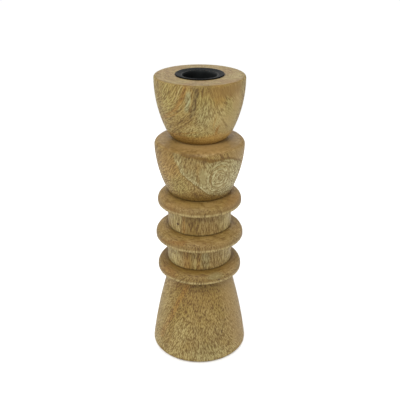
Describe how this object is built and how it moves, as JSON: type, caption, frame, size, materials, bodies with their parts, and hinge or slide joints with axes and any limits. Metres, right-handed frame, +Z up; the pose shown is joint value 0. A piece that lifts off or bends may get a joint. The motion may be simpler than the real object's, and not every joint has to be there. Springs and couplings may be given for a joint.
{
  "type": "wooden candlestick",
  "caption": "Turned wooden candlestick: stacked bowls and flanged spools on a conical foot, with a metal insert for a dinner candle.",
  "frame": {"origin": "on the turning axis, at the underside of the felt pad that the candlestick stands on", "axes": "+Z up along the turning axis; the part is round about it, so +X and +Y are free, with -Y the side first seen"},
  "size_m": [0.0718, 0.0718, 0.2116],
  "materials": {
    "turned_wood": "sanded and lightly oiled, satin",
    "dowel_wood": "plain birch, unfinished",
    "black_metal": "satin black",
    "screw_steel": "blackened",
    "felt": "pressed wool felt"
  },
  "bodies": {
    "root": {"felt_pad": "felt", "foot": "turned_wood", "lower_spool": "turned_wood", "upper_spool": "turned_wood", "middle_bowl": "turned_wood", "top_bowl": "turned_wood", "spine_dowel": "dowel_wood", "bowl_dowel": "dowel_wood", "candle_insert": "black_metal", "insert_screw": "screw_steel"}
  },
  "joints": []
}
